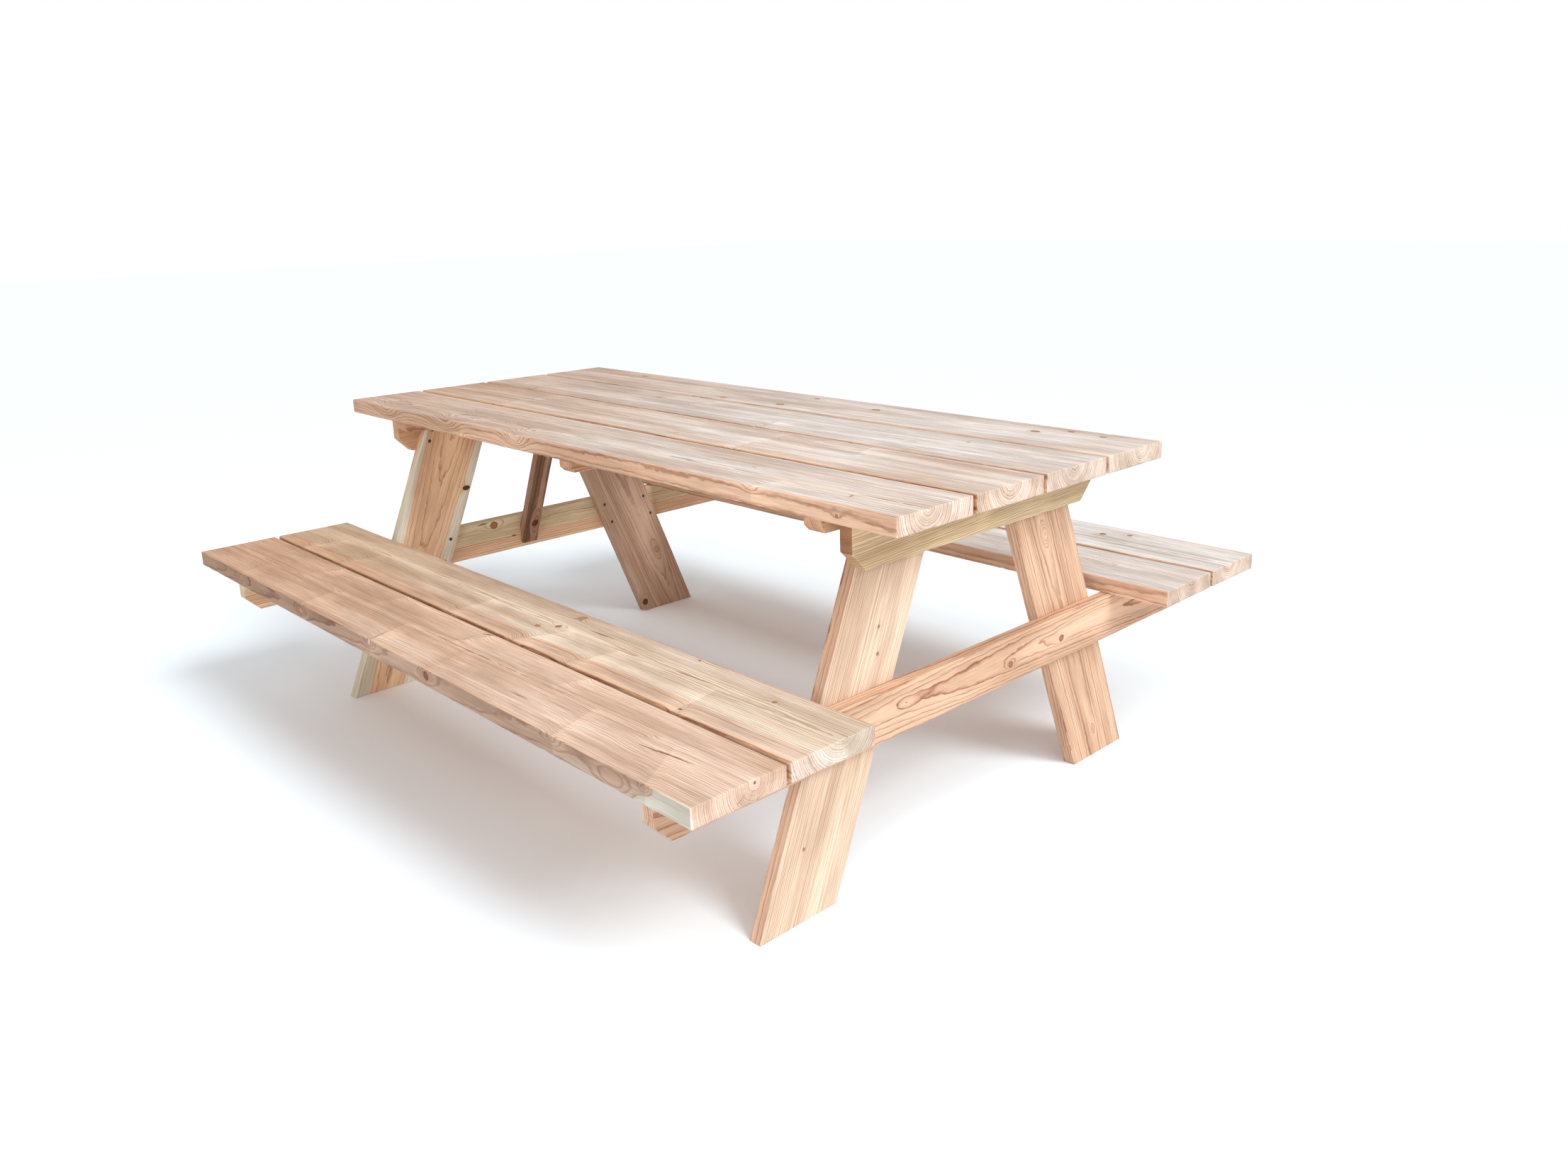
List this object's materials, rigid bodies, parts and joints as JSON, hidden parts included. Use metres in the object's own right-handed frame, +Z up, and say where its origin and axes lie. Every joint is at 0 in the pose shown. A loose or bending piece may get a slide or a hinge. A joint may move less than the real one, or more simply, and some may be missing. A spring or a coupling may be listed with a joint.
{
  "type": "picnic table",
  "caption": "Free-standing wooden picnic table: slatted rectangular top and a fixed plank bench along each long side, carried by two splayed-leg end frames.",
  "frame": {"origin": "on the floor under the centre of the tabletop", "axes": "+X along the planks towards the right-hand end frame, +Y from the front bench to the back bench, +Z up"},
  "size_m": [2, 1.73, 0.78],
  "materials": {
    "tabletop_planks": "planed, unpainted",
    "bench_planks": "planed, unpainted",
    "leg_boards": "planed, unpainted",
    "rail_boards": "planed, unpainted",
    "batten_wood": "planed, unpainted",
    "screws": "plain"
  },
  "bodies": {
    "root": {"tabletop_plank_1": "tabletop_planks", "tabletop_plank_2": "tabletop_planks", "tabletop_plank_3": "tabletop_planks", "tabletop_plank_4": "tabletop_planks", "front_bench_outer_plank": "bench_planks", "front_bench_inner_plank": "bench_planks", "back_bench_outer_plank": "bench_planks", "back_bench_inner_plank": "bench_planks", "left_front_leg": "leg_boards", "left_back_leg": "leg_boards", "right_front_leg": "leg_boards", "right_back_leg": "leg_boards", "left_top_rail": "rail_boards", "left_seat_rail": "rail_boards", "right_top_rail": "rail_boards", "right_seat_rail": "rail_boards", "left_top_batten": "batten_wood", "middle_top_batten": "batten_wood", "right_top_batten": "batten_wood", "left_brace": "batten_wood", "seat_rail_screws": "screws", "top_rail_screws": "screws", "tabletop_screws": "screws", "leg_top_screws": "screws", "bench_screws": "screws", "brace_screws": "screws"}
  },
  "joints": []
}
